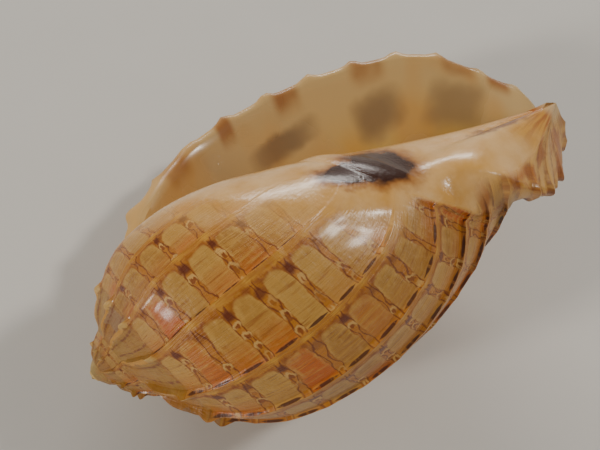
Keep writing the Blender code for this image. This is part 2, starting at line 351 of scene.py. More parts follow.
def outside(t, v):
    """The outside: the bare surface pushed out by the ribs, the spines at the shoulder and the callus.

    Ribs stand off along the normal, or along a forward slant on the front ridge, where
    two thin lamellae, saw teeth in the rib count, lie between two ribs. They fade under the callus.
    """
    t, v = np.broadcast_arrays(np.asarray(t, float), np.asarray(v, float))
    count = rib_count(t)
    covered_rows = v - row_at(CALLUS_EDGE, t)
    cover = smooth(covered_rows / CALLUS_RISE)
    # The spire's ribs come out slowly, once it has grown for more than half a turn.
    grown = smooth((t - SPIRE_START) / TURN - 0.6)
    stand = rib(count) * grown * (1.0 - COVERED_RIB_LOSS * cover) * (1.0 - smooth(covered_rows / RIB_SINK))
    ridge = smooth((v - RIDGE_START) / RIDGE_RISE)
    height = (RIB_HEIGHT + ridge * (RIDGE_RIB_HEIGHT - RIB_HEIGHT)) * smooth((v - SUTURE) / 0.8)
    height = height * (1.0 - INNER_RIB_LOSS * smooth(v - 12.0)) * (1.0 + RAMP_RIBS * smooth(-v))
    saw = LAMELLA * ridge * smooth((v - LAMELLA_START) / LAMELLA_RISE) * (1.0 - past_rib(LAMELLAE * count))
    height = (height + beads(t, v)) * stand + saw * (1.0 - cover) + CALLUS * cover
    spike = spines(t, v, count) * grown * (1.0 - cover)
    pad_turn, pad_row, turn_spread, row_spread, thick = PAD
    pad = thick * bell((t - pad_turn) / turn_spread) * bell((v - pad_row) / row_spread) * cover
    # A spine points outwards and to the spire, and a rib of the ridge outwards and to the front.
    pointing = np.stack([np.cos(t), -np.sin(t), np.full(t.shape, 1.0)], axis=-1) / math.sqrt(2.0)
    from_axis = away_from_axis(t, v)
    front = (from_axis - np.array((0.0, 0.0, 1.0))) / math.sqrt(2.0)
    normal = outward(t, v) * (1.0 - ridge)[..., None] + front * ridge[..., None]
    relief = normal * height[..., None] + pointing * spike[..., None] + from_axis * pad[..., None]
    return bare(t, v) + relief * size(t)[..., None]


def columella(t, w):
    """From the ridge's inner edge (w = 0) to the tip or the canal floor (w = 1), slightly hollow."""
    top = outside(t, END)
    tip = outside(np.full(t.shape, LIP), END)
    foot = np.where((t > MOUTH + NEAR)[..., None], tip, canal_floor(t + TURN))
    across = foot - top
    length = np.linalg.norm(across, axis=-1)
    inward = -away_from_axis(t, np.full(t.shape, END))
    sag = COLUMELLA_SAG * length * 4.0 * w * (1.0 - w)
    return top + across * w[..., None] + inward * sag[..., None]


def inside(t, v):
    """The inner side of the outer wall: the bare surface moved in by the wall's thickness."""
    wall = WALL + (LIP_WALL - WALL) * smooth((t - LIP + LIP_WALL_RUN) / LIP_WALL_RUN)
    thick = wall * size(t - LIP) * smooth((v - SUTURE + 0.2) / 1.0)
    points = bare(t, v) - outward(t, v) * thick[..., None]
    turned_in = np.full(v.shape, CANAL_START)
    start = bare(t, turned_in) - outward(t, turned_in) * (wall * size(t - LIP))[..., None]
    part = np.clip((v - CANAL_START) / (END - CANAL_START), 0.0, 1.0)[..., None]
    straight = (smooth((LIP - CANAL_OPEN - t) / CANAL_OPEN) * (v > CANAL_START))[..., None]
    points = points + straight * (start + (canal_floor(t) - start) * part - points)
    points = np.where((v < SUTURE + NEAR)[..., None], outside(t - TURN, JOIN + CORNER), points)
    return np.where((v > END - NEAR)[..., None], canal_floor(t), points)


def lip_rim(rows, steps):
    """The lip's cut edge: from the outside to the inside, bulged forward by half a sine wave.

    A small tooth, a bell about each whole row, stands forward from it, and a larger one near
    the front. The first row lies along the whorl before, and the last is straight.
    """
    t = np.full(rows.shape, LIP)
    outer = outside(t, rows)
    outer[0] = outside(np.array(MOUTH), np.array(JOIN))
    inner = inside(t, rows)
    ahead = (bare(t + RIM_STEP, rows) - bare(t, rows)) / RIM_STEP
    teeth = LIP_TEETH * bell((rows - np.round(rows)) / TOOTH_HALF)
    teeth = teeth * smooth((rows - 1.5) / 0.5) * smooth(11.0 - rows)
    stand = RIM_BULGE + teeth + FRONT_TOOTH * bell((rows - FRONT_TOOTH_ROW) / FRONT_TOOTH_HALF)
    w = np.linspace(0.0, 1.0, steps)
    points = outer[:, None] + (inner - outer)[:, None] * w[:, None]
    points = points + ahead[:, None] * (stand[:, None] * np.sin(math.pi * w))[..., None]
    points[0] = outside(np.full(steps, MOUTH), np.linspace(JOIN, JOIN + CORNER, steps))
    points[-1] = outer[-1] + (inner[-1] - outer[-1]) * w[:, None]
    return points


class Skin:
    """Collects grids of points as one mesh, with the two maps its materials read."""

    def __init__(self):
        self.points, self.quads, self.growth, self.coat, self.slots, self.soft = [], [], [], [], [], []
        self.count = 0

    def add(self, points, growth, coat, slot, soft=0.0):
        """Adds a grid of points, its growth map (rib count, row) and its coat map, face by face."""
        columns, rows = points.shape[:2]
        index = np.arange(columns * rows).reshape(columns, rows)
        quads = np.stack([index[:-1, :-1], index[1:, :-1], index[1:, 1:], index[:-1, 1:]], axis=-1)
        quads = quads.reshape(-1, 4)
        for store, values in ((self.growth, growth), (self.coat, coat)):
            flat = np.stack([np.broadcast_to(value, (columns, rows)) for value in values], axis=-1)
            store.append(flat.reshape(-1, 2)[quads.reshape(-1)])
        self.points.append(points.reshape(-1, 3))
        self.quads.append(quads + self.count)
        self.slots.append(np.full(len(quads), slot))
        self.soft.append(np.broadcast_to(soft, (columns, rows)).ravel())
        self.count += columns * rows

    def cap(self, loop, pole, bulge, coat, slot):
        """Closes a loop of points over a pole: a quarter circle from the loop up to the bulge."""
        angle = np.linspace(0.0, 0.5 * math.pi, 9)
        points = pole + (loop - pole)[:, None] * np.cos(angle)[:, None] + bulge * np.sin(angle)[:, None]
        self.add(points, CAP_GROWTH, coat, slot)

    def mesh(self, name):
        """The grids as one mesh in metres, with the growth and coat maps at the faces' corners."""
        data = bpy.data.meshes.new(name)
        points = np.concatenate(self.points) * MM
        quads = np.concatenate(self.quads)
        data.vertices.add(len(points))
        data.vertices.foreach_set("co", points.ravel())
        data.loops.add(quads.size)
        data.loops.foreach_set("vertex_index", quads.ravel())
        data.polygons.add(len(quads))
        data.polygons.foreach_set("loop_start", np.arange(0, quads.size, 4))
        data.polygons.foreach_set("material_index", np.concatenate(self.slots))
        for label, store in (("growth", self.growth), ("coat", self.coat)):
            layer = data.uv_layers.new(name=label)
            layer.data.foreach_set("uv", np.concatenate(store).ravel())
        soft = data.attributes.new("soft", "FLOAT", "POINT")
        soft.data.foreach_set("value", np.concatenate(self.soft))
        data.update(calc_edges=True)
        return data


def build_skin():
    """All grids of the shell: spire, body, columella, lip, hollow, and the two closed ends."""
    skin = Skin()
    above = np.unique(np.concatenate([np.linspace(SUTURE, JOIN, 25), [0.0, -0.15, 0.15]]))
    corner = np.array([JOIN, JOIN + 0.5 * CORNER, JOIN + CORNER])
    below = np.concatenate([[JOIN + CORNER], np.linspace(2.3, END, 80)])
    rows = np.concatenate([above, corner[1:], below[1:]])
    down = np.linspace(0.0, 1.0, 13)

    starts = np.array((MOUTH,) + RIBS[:-1])
    spans = np.array(RIBS) - starts
    whorl = (starts[:, None] + spans[:, None] * np.array(PHASES)).ravel()
    spire = np.concatenate([whorl - 3 * TURN, whorl - 2 * TURN, whorl - TURN, [MOUTH]])
    spire = spire[spire > SPIRE_START]
    body = np.append(whorl, LIP)
    hollow = np.linspace(LIP - DEPTH, LIP, 110)

    def outer_grid(turns, chosen):
        """The outside, whose suture is the very edge of the whorl before."""
        t, v = np.meshgrid(turns, chosen, indexing="ij")
        points = outside(t, v)
        edge = chosen < SUTURE + NEAR
        points[:, edge] = outside(t[:, edge] - TURN, np.full((len(turns), edge.sum()), JOIN))
        # From the crest of the front ridge inwards the skin is soft.
        soft = smooth((v - 11.9) / 0.8) * smooth((t - MOUTH) / 0.5)
        skin.add(points, (rib_count(t), v), (glazed(t, v), 0.0), OUTER, soft)
        return points

    # The spire, the body and the columella outside.
    outer_grid(spire, above)
    outer_grid(body, rows)
    t, w = np.meshgrid(body, down, indexing="ij")
    glaze = glazed(t, END + COLUMELLA_ROWS * w)
    skin.add(columella(t, w), (rib_count(t), END + w), (glaze, w), OUTER, 1.0 - smooth(w / 0.5))

    rim = lip_rim(rows, 7)
    across = np.linspace(0.0, 1.0, 7)
    skin.add(rim, (float(len(RIBS)), rows[:, None] + 0.0 * across), (1.0 - across, 0.0), ENAMEL)

    # The hollow: the wall's inner side, and the whorl and the columella that it winds round.
    t, v = np.meshgrid(hollow, rows, indexing="ij")
    skin.add(inside(t, v), (rib_count(t), v), (0.0, (LIP - t) / DEPTH), ENAMEL)
    t, v = np.meshgrid(hollow - TURN, below, indexing="ij")
    skin.add(outside(t, v), (rib_count(t), v), (1.0, (MOUTH - t) / DEPTH), OUTER)
    t, w = np.meshgrid(hollow - TURN, down, indexing="ij")
    skin.add(columella(t, w), (rib_count(t), END + w), (1.0, w), OUTER)

    # The deep end of the hollow, and the tip of the spire.
    end = hollow[:1]
    wall_side = inside(end + 0.0 * rows, rows)
    axis_side = outside(end - TURN + 0.0 * below, below)
    columella_side = columella(end - TURN + 0.0 * down, down)
    loop = np.concatenate([wall_side, columella_side[::-1][1:], axis_side[::-1][1:]])
    deeper = inside(end - END_BULGE + 0.0 * rows, rows).mean(axis=0)
    skin.cap(loop, deeper, np.zeros(3), (0.0, 1.0), ENAMEL)

    first_lap = spire[spire < spire[0] + TURN - NEAR]
    edge = outside(first_lap - TURN, np.full(first_lap.shape, JOIN))
    back = outside(np.full(above.shape, spire[0]), above)[::-1]
    back[-1] = edge[0]
    loop = np.concatenate([edge, back])
    base = np.array((0.0, 0.0, loop[:, 2].mean()))
    skin.cap(loop, base, np.array((0.0, 0.0, -TIP_DROP)) - base, (0.0, 0.0), OUTER)
    return skin.mesh("shell_surface")


def rest_pose():
    """From the shell's own axes to the way it lies, with its mouth upwards."""
    turned = Matrix.Rotation(math.radians(-LIE_TURN), 4, "Z")
    laid = Matrix.Rotation(math.radians(-90.0 - FRONT_RAISED), 4, "Y")
    return Matrix.Translation([shift * MM for shift in SHIFT]) @ laid @ turned


def relax(data, passes):
    """Rounds off creases: each pass moves a point by its softness towards the mean of its neighbours."""
    count = len(data.vertices)
    ends = np.empty(len(data.edges) * 2, dtype=int)
    data.edges.foreach_get("vertices", ends)
    near, far = ends.reshape(-1, 2).T
    here, there = np.concatenate([near, far]), np.concatenate([far, near])
    points = np.empty(count * 3)
    data.vertices.foreach_get("co", points)
    points = points.reshape(-1, 3)
    soft = np.empty(count)
    data.attributes["soft"].data.foreach_get("value", soft)
    neighbours = np.maximum(np.bincount(here, minlength=count), 1)
    for _ in range(passes):
        sums = np.stack([np.bincount(here, points[there, i], count) for i in range(3)], axis=1)
        points = points + (sums / neighbours[:, None] - points) * (SOFTENING * soft)[:, None]
    data.vertices.foreach_set("co", points.ravel())


def finish_skin(data):
    """Merges the common edges, rounds off creases, lays the shell down and cuts it flat at the floor."""
    skin = bmesh.new()
    skin.from_mesh(data)
    bmesh.ops.remove_doubles(skin, verts=skin.verts, dist=2e-7)
    bmesh.ops.dissolve_degenerate(skin, edges=skin.edges, dist=1e-7)
    bmesh.ops.recalc_face_normals(skin, faces=skin.faces)
    skin.to_mesh(data)
    skin.clear()
    relax(data, SOFT_PASSES)
    data.attributes.remove(data.attributes["soft"])
    skin.from_mesh(data)
    skin.transform(rest_pose())
    everything = skin.verts[:] + skin.edges[:] + skin.faces[:]
    down = (0.0, 0.0, -1.0)
    cut = bmesh.ops.bisect_plane(skin, geom=everything, plane_no=down, clear_outer=True, dist=1e-7)
    rims = [item for item in cut["geom_cut"] if isinstance(item, bmesh.types.BMEdge)]
    bmesh.ops.edgeloop_fill(skin, edges=rims)
    skin.to_mesh(data)
    skin.free()
    data.shade_smooth()
    data.set_sharp_from_angle(angle=math.radians(60))


def linear(code):
    """A colour given as an sRGB hex code, turned to linear, with an alpha of 1."""
    parts = [int(code[i:i + 2], 16) / 255.0 for i in (1, 3, 5)]
    return tuple(p / 12.92 if p < 0.04045 else ((p + 0.055) / 1.055) ** 2.4 for p in parts) + (1.0,)


def add(tree, kind, *inputs, **settings):
    """Adds a node with its settings, and returns its outputs. A colon sets off its operation.

    Its inputs are filled in order with links, values or colours, which are hex codes. None skips one.
    """
    kind, _, operation = kind.partition(":")
    node = tree.nodes.new("ShaderNode" + kind)
    if operation:
        node.operation = operation
    for name, value in settings.items():
        setattr(node, name, value)
    for socket, value in zip(node.inputs, inputs):
        if isinstance(value, bpy.types.NodeSocket):
            tree.links.new(value, socket)
        elif isinstance(value, str):
            socket.default_value = linear(value)
        elif value is not None:
            socket.default_value = value
    outputs = [socket for socket in node.outputs if socket.enabled]
    return outputs[0] if len(outputs) == 1 else outputs


def new_material(name):
    """A new material, and the function that adds a node to it."""
    material = bpy.data.materials.new(name)
    material.use_nodes = True
    return material, functools.partial(add, material.node_tree)


# What a range needs to start and end gently.
SMOOTHLY = {"interpolation_type": "SMOOTHSTEP"}

# The colour pattern of the outside. Lengths along a row are parts of the way to the next rib, about
# 6 mm on the body, and heights are in rows, about 4 mm. A patch's power would be 2 in an ellipse.
PATCH_MIDDLE = 0.73
PATCH_HALF_LENGTH = 0.58
PATCH_HALF_HEIGHT = 0.375
PATCH_POWER = 5.0
# The chain along each whole row: where its dark blotch is, where its links start, and their pitch.
CHAIN_BLOTCH = 0.25
CHAIN_START = 0.35
CHAIN_PITCH = (0.17, 0.30)

# Marks at places on the laid shell, in metres, with their half sizes and how they are turned.
CALLUS_BLOTCH = (((0.0032, -0.0038, 0.0262), (0.0043, 0.0034, 0.0036)),
                 ((-0.0004, -0.0036, 0.0282), (0.0036, 0.0018, 0.0030)))
CALLUS_BLOTCH_TURN = (0.0, 0.45, -0.35)
# The fold's streak is painted shade: the dark line of the crease at the columella's front end.
FOLD_PAINTED_SHADE = ((0.0183, -0.0046, 0.0235), (0.0, 0.12, -0.05), (0.0046, 0.0009, 0.0014))
SHELL_TIP = (0.0277, -0.0044, 0.0212)
# The blotches inside the mouth: place, turn about the upright, half sizes and strength.
MOUTH_BLOTCHES = (((0.0042, 0.0132, 0.0081), 0.0, (0.0034, 0.0012, 0.0030), 0.75),
                  ((0.0152, 0.0100, 0.0098), -0.1, (0.0026, 0.0020, 0.0030), 0.7),
                  ((0.0230, 0.0046, 0.0131), -0.8, (0.0030, 0.0022, 0.0035), 0.6))
# Orange-brown marks along the lip's inner edge: the row at each one's middle, and half its length.
LIP_MARKS = ((1.4, 0.5), (2.9, 0.25), (4.4, 0.4), (6.3, 0.55), (8.5, 0.55), (9.5, 0.4))

# Aragonite's lowest index of refraction.
ARAGONITE_IOR = 1.53


def pattern_places(put):
    """Where a point of the outside lies in the pattern, and the chances that its patch and chain drew."""
    growth = put("UVMap", uv_map="growth")
    at = types.SimpleNamespace(growth=growth, place=put("TexCoord")[3])
    at.ribs, at.row, _ = put("SeparateXYZ", growth)
    at.callus, _, _ = put("SeparateXYZ", put("UVMap", uv_map="coat"))

    # The pattern wanders by about 0.3 mm, as the mantle did.
    wander = put("TexNoise", growth, None, 1.7, 4.0, 0.62)[1]
    wander = put("VectorMath:SUBTRACT", wander, (0.5, 0.5, 0.5))
    wander = put("VectorMath:MULTIPLY", wander, (0.17, 0.42, 0.0))
    at.loose_ribs, at.loose_row, _ = put("SeparateXYZ", put("VectorMath:ADD", growth, wander))
    whole_row = put("Math:ROUND", at.loose_row)
    at.along = put("Math:FRACT", at.loose_ribs)
    at.above_row = put("Math:SUBTRACT", at.loose_row, whole_row)
    at.off_row = put("Math:ABSOLUTE", at.above_row)

    # What belongs to a rib follows it exactly: how far past it a point is, and on which side.
    at.past_rib = put("Math:FRACT", at.ribs)
    half_way = put("Math:FRACT", put("Math:ADD", at.ribs, 0.5))
    at.rib_side = put("Math:SUBTRACT", half_way, 0.5)

    rib_number = put("Math:FLOOR", at.loose_ribs)
    patch_id = put("CombineXYZ", rib_number, put("Math:FLOOR", at.loose_row), 3.0)
    at.chain_id = put("CombineXYZ", rib_number, whole_row, 11.0)
    patch_chances = put("TexWhiteNoise", patch_id)[1]
    chain_chances = put("TexWhiteNoise", at.chain_id)[1]
    at.patch_luck, at.patch_tone, at.patch_olive = put("SeparateXYZ", patch_chances)
    at.chain_luck, at.chain_shift, at.chain_pale = put("SeparateXYZ", chain_chances)

    # Growth lines run along the ribs: broad ones about 0.4 mm apart, fine ones about 0.15 mm.
    broad = put("VectorMath:MULTIPLY", growth, (15.0, 0.8, 1.0))
    close = put("VectorMath:MULTIPLY", growth, (44.0, 1.6, 1.0))
    at.lines = put("TexNoise", broad, None, 1.0, 3.0, 0.6)[0]
    at.fine = put("TexNoise", close, None, 1.0, 2.0, 0.5)[0]
    # The mottle's spots are a fifth of a rib's pitch long, a good millimetre.
    at.mottle = put("TexNoise", growth, None, 5.0, 3.0, 0.6)[0]
    return at


def ragged(put, place, noise, reach):
    """A place moved about by a noise of colours, at most by half the reach, for ragged edges."""
    shift = put("VectorMath:SUBTRACT", noise, (0.5, 0.5, 0.5))
    shift = put("VectorMath:MULTIPLY", shift, (reach, reach, reach))
    return put("VectorMath:ADD", place, shift)


def patchy(put, at, mask, low, high, faint, strong):
    """A mask times a range of the mottle: faint where the mottle is low, strong where it is high."""
    mottle = put("MapRange", at.mottle, low, high, faint, strong)
    return put("Math:MULTIPLY", mask, mottle)


def patches(put, at):
    """The patches' colour, and the reach of a point, which is 1 on a patch's edge.

    The reach is the fifth root of the sum of two fifth powers: the distances from the
    patch's middle along and across the row, each over its half size.
    """
    powers = []
    for way, middle, half in ((at.along, PATCH_MIDDLE, PATCH_HALF_LENGTH),
                              (at.off_row, 0.5, PATCH_HALF_HEIGHT)):
        away = put("Math:DIVIDE", put("Math:SUBTRACT", way, middle), half)
        away = put("Math:ABSOLUTE", away)
        powers.append(put("Math:POWER", away, PATCH_POWER))
    reach = put("Math:POWER", put("Math:ADD", *powers), 1.0 / PATCH_POWER)

    # Tan inside, turning orange-brown towards the next rib. A few patches are orange all over.
    late = put("MapRange", at.along, 0.40, 1.0, 0.0, 0.8, **SMOOTHLY)
    late = put("Math:MULTIPLY", late, at.patch_tone)
    lucky = put("MapRange", at.patch_luck, 0.80, 0.97, 0.0, 0.9, **SMOOTHLY)
    orange = put("Math:ADD", late, lucky, use_clamp=True)
    colour = put("MixRGB", at.patch_olive, "#C9A05C", "#AA7A33")
    colour = put("MixRGB", put("MapRange", at.mottle, 0.5, 0.68, 0.0, 0.45), colour, "#D3B078")
    colour = put("MixRGB", orange, colour, "#C8690E")
    light_line = put("MapRange", at.lines, 0.50, 0.66, 0.0, 0.6, **SMOOTHLY)
    dark_line = put("MapRange", at.lines, 0.47, 0.30, 0.0, 0.55, **SMOOTHLY)
    colour = put("MixRGB", light_line, colour, "#CFA25A")
    colour = put("MixRGB", dark_line, colour, "#935214")

    # A paler border, which fades towards the next rib.
    border = put("MapRange", reach, 0.66, 0.90, 0.0, 1.0, **SMOOTHLY)
    fading = put("MapRange", at.along, 0.4, 0.9, 0.9, 0.1, **SMOOTHLY)
    border = put("Math:MULTIPLY", border, fading)
    border = patchy(put, at, border, 0.35, 0.6, 0.1, 0.8)
    return put("MixRGB", border, colour, "#D4AA66"), reach


def ground(put, at, reach):
    """The ground between the patches, with a brown outline and thin brown threads along each row."""
    outline = put("MapRange", reach, 1.14, 1.0, 0.0, 0.7, **SMOOTHLY)
    outline = patchy(put, at, outline, 0.35, 0.6, 0.3, 1.0)
    colour = put("MixRGB", outline, "#C0812F", "#93500F")
    # The threads run 0.3 mm off the row's middle, in waves half a rib's pitch long.
    wave = put("Math:SINE", put("Math:MULTIPLY", at.loose_ribs, 13.0))
    wave = put("Math:MULTIPLY_ADD", wave, 0.035, 0.085)
    thread = put("Math:ABSOLUTE", put("Math:SUBTRACT", at.off_row, wave))
    thread = put("MapRange", thread, 0.006, 0.032, 0.85, 0.0, **SMOOTHLY)
    return put("MixRGB", thread, colour, "#77370C")


def chain_links(put, at, colour):
    """The links of the chains: brown spots in pale crescents, which open to the growing side."""
    pitch = put("MapRange", at.chain_shift, 0.0, 1.0, *CHAIN_PITCH)
    link = put("Math:DIVIDE", put("Math:SUBTRACT", at.along, CHAIN_START), pitch)
    link_id = put("CombineXYZ", 0.0, 0.0, put("Math:FLOOR", link))
    link_id = put("VectorMath:ADD", at.chain_id, link_id)
    link_luck = put("TexWhiteNoise", link_id)[0]
    link_x = put("Math:SUBTRACT", put("Math:FRACT", link), 0.52)
    link_y = put("Math:DIVIDE", at.above_row, 0.28)
    ring = put("VectorMath:LENGTH", put("CombineXYZ", link_x, link_y, 0.0))
    ring = put("Math:ADD", ring, put("MapRange", at.mottle, 0.3, 0.7, -0.2, 0.2))

    in_chain = put("MapRange", at.along, 0.33, 0.38, 0.0, 1.0, **SMOOTHLY)
    strength = put("Math:MULTIPLY", put("MapRange", link_luck, 0.2, 0.7, 0.05, 1.0), in_chain)
    spot = put("MapRange", ring, 0.14, 0.27, 1.0, 0.0, **SMOOTHLY)
    spot = put("Math:MULTIPLY", put("Math:MULTIPLY", spot, strength), 0.75)
    rise = put("MapRange", ring, 0.14, 0.28, 0.0, 1.0, **SMOOTHLY)
    fall = put("MapRange", ring, 0.36, 0.49, 1.0, 0.0, **SMOOTHLY)
    open_side = put("MapRange", link_x, -0.10, 0.25, 1.0, 0.0, **SMOOTHLY)
    pale = put("Math:MULTIPLY", put("Math:MULTIPLY", rise, fall), open_side)
    pale = put("Math:MULTIPLY", put("Math:MULTIPLY", pale, strength), 0.85)
    colour = put("MixRGB", spot, colour, "#7F3B0C")
    return put("MixRGB", pale, colour, "#DDB983")


def chain_blotch(put, at, colour):
    """The dark blotch at the start of each chain, darker in some than in others."""
    along = put("Math:DIVIDE", put("Math:SUBTRACT", at.along, CHAIN_BLOTCH), 0.10)
    across = put("Math:DIVIDE", at.above_row, 0.15)
    blotch = put("VectorMath:LENGTH", put("CombineXYZ", along, across, 0.0))
    blotch = put("MapRange", blotch, 0.45, 1.25, 1.0, 0.0, **SMOOTHLY)
    dark = put("MapRange", at.chain_luck, 0.0, 0.6, 0.35, 0.95)
    return put("MixRGB", put("Math:MULTIPLY", blotch, dark), colour, "#6E2E0A")


def ribs(put, at, colour):
    """The ribs' colour, and the mask of their flat tops, which are pale yellow.

    A red-brown strip follows a top, strongest beside each whole row. A thin dark dash lies on
    the steep side and tapers towards each whole row.
    """
    strip = put("MapRange", at.past_rib, 0.24, 0.12, 0.0, 0.8, **SMOOTHLY)
    strip_rows = put("MapRange", at.off_row, 0.06, 0.16, 0.0, 1.0, **SMOOTHLY)
    strip_ends = put("MapRange", at.off_row, 0.42, 0.22, 0.25, 1.0, **SMOOTHLY)
    strip = put("Math:MULTIPLY", strip, strip_rows)
    strip = put("Math:MULTIPLY", strip, strip_ends)
    strip = put("Math:MULTIPLY", strip, put("MapRange", at.chain_pale, 0.0, 1.0, 0.25, 1.0))
    colour = put("MixRGB", strip, colour, "#85400E")

    uneven = put("MapRange", at.mottle, 0.3, 0.7, -0.04, 0.04)
    top = put("Math:ADD", at.past_rib, uneven)
    top = put("MapRange", top, 0.08, 0.14, 1.0, 0.0, **SMOOTHLY)
    shade = put("MixRGB", put("MapRange", at.off_row, 0.06, 0.25, 0.0, 0.8), "#D8A549", "#C08638")
    shade = put("MixRGB", put("MapRange", at.fine, 0.42, 0.62, 0.0, 0.5), shade, "#A9611C")
    colour = put("MixRGB", top, colour, shade)

    wide = put("MapRange", at.off_row, 0.10, 0.38, 0.0, 0.016, **SMOOTHLY)
    off = put("Math:ABSOLUTE", put("Math:ADD", at.rib_side, 0.016))
    dash = put("MapRange", put("Math:SUBTRACT", wide, off), -0.003, 0.006, 0.0, 0.9, **SMOOTHLY)
    dash = patchy(put, at, dash, 0.32, 0.45, 0.35, 1.0)
    return put("MixRGB", dash, colour, "#4A1C08"), top


def spire_side(put, at, colour, top):
    """The ramp above the shoulder, where the rows end, with its brown arcs, the spines and the apex."""
    ramp = put("MapRange", at.loose_row, 0.35, -0.1, 0.0, 1.0, **SMOOTHLY)
    # Two arcs to a rib's pitch follow the growth lines, bent by the square of the rows past row -1.
    bend = put("Math:POWER", put("Math:ADD", at.loose_row, 1.0), 2.0)
    bend = put("Math:MULTIPLY", bend, 0.10)
    arc = put("Math:ADD", bend, put("Math:MULTIPLY", at.loose_ribs, 2.0))
    arc = put("Math:SUBTRACT", put("Math:FRACT", arc), 0.55)
    arc = put("MapRange", put("Math:ABSOLUTE", arc), 0.03, 0.10, 0.85, 0.0, **SMOOTHLY)
    arc = patchy(put, at, arc, 0.4, 0.55, 0.15, 1.0)
    shade = put("MixRGB", at.patch_tone, "#B27C2C", "#AC8743")
    shade = put("MixRGB", put("MapRange", at.patch_luck, 0.78, 0.86, 0.0, 0.7), shade, "#A08476")
    shade = put("MixRGB", put("MapRange", at.mottle, 0.5, 0.66, 0.0, 0.45), shade, "#96571A")
    shade = put("MixRGB", arc, shade, "#7E4010")
    shade = put("MixRGB", top, shade, "#D09C46")
    colour = put("MixRGB", ramp, colour, shade)

    spine = put("MapRange", put("Math:ABSOLUTE", at.row), 0.32, 0.12, 0.0, 0.8, **SMOOTHLY)
    colour = put("MixRGB", put("Math:MULTIPLY", spine, top), colour, "#DFC08A")
    apex = put("MapRange", at.ribs, -20.0, -26.0, 0.0, 0.85, **SMOOTHLY)
    return put("MixRGB", apex, colour, "#D9C28E")


def front_ridge(put, at, colour):
    """The ridge round the front end: pale lamellae, brown in their valleys, and brown stretches."""
    ridge = put("MapRange", at.loose_row, 10.6, 11.2, 0.0, 1.0, **SMOOTHLY)
    valley = put("Math:FRACT", put("Math:MULTIPLY", at.ribs, LAMELLAE))
    valley = put("MapRange", valley, 0.45, 1.0, 0.0, 0.75, **SMOOTHLY)
    valley = patchy(put, at, valley, 0.35, 0.6, 0.2, 1.0)
    brown = put("TexNoise", at.growth, None, 1.1, 3.0, 0.6)[0]
    brown = put("MapRange", brown, 0.44, 0.58, 0.0, 0.9, **SMOOTHLY)
    shade = put("MixRGB", brown, "#D6A04A", "#B06414")
    shade = put("MixRGB", valley, shade, "#8A4610")
    return put("MixRGB", ridge, colour, shade), valley, brown


def callus_glaze(put, at, colour, valley, brown):
    """The glaze of callus and how far it veils the pattern: thin at its edge, then cream to tan.

    Its clouds are about 4 mm across. At the front end it takes colours like the ridge's.
    """
    veil = put("MapRange", at.callus, 0.0, 1.0, 0.0, 0.94)
    cloud = put("TexNoise", at.place, None, 260.0, 3.0, 0.55)[0]
    glaze = put("MixRGB", put("MapRange", cloud, 0.35, 0.65, 0.0, 1.0), "#F0C282", "#DCA452")
    to_front, _, _ = put("SeparateXYZ", at.place)
    at_front = put("MapRange", to_front, 0.0180, 0.0250, 0.0, 0.97, **SMOOTHLY)
    shade = put("MixRGB", brown, "#DE9B30", "#AE5A0A")
    shade = put("MixRGB", put("Math:MULTIPLY", valley, 0.5), shade, "#93501A")
    glaze = put("MixRGB", at_front, glaze, shade)
    return put("MixRGB", veil, colour, glaze), veil


def callus_marks(put, at, colour):
    """The marks on the callus, and the mask of its blotch's core.

    The blotch is dark brown, 10 mm long, with a reddish edge and a point at its older end.
    A brown streak of painted shade, the crease's shadow, follows the fold at the columella's front
    end, and the very tip is pale.
    """
    # The blotch's edge is ragged in steps of about 2.4 mm.
    place = ragged(put, at.place, put("TexNoise", at.place, None, 420.0, 3.0, 0.6)[1], 0.0030)
    far = 9.0
    for centre, half_sizes in CALLUS_BLOTCH:
        spot = put("Mapping", place, centre, CALLUS_BLOTCH_TURN, half_sizes, vector_type="TEXTURE")
        far = put("Math:MINIMUM", far, put("VectorMath:LENGTH", spot))
    edge = put("MapRange", far, 1.4, 0.85, 0.0, 0.9, **SMOOTHLY)
    core = put("MapRange", far, 1.02, 0.70, 0.0, 0.97, **SMOOTHLY)
    colour = put("MixRGB", edge, colour, "#A2601C")
    colour = put("MixRGB", core, colour, "#321006")

    # Painted shade: a brown streak along the fold, where the crease's shadow falls.
    fold = put("VectorMath:LENGTH", put("Mapping", place, *FOLD_PAINTED_SHADE, vector_type="TEXTURE"))
    colour = put("MixRGB", put("MapRange", fold, 1.3, 0.5, 0.0, 0.85, **SMOOTHLY), colour, "#7A4216")
    tip = put("VectorMath:LENGTH", put("VectorMath:SUBTRACT", at.place, SHELL_TIP))
    tip = put("MapRange", tip, 0.0030, 0.0010, 0.0, 0.7, **SMOOTHLY)
    return put("MixRGB", tip, colour, "#E3C592"), core


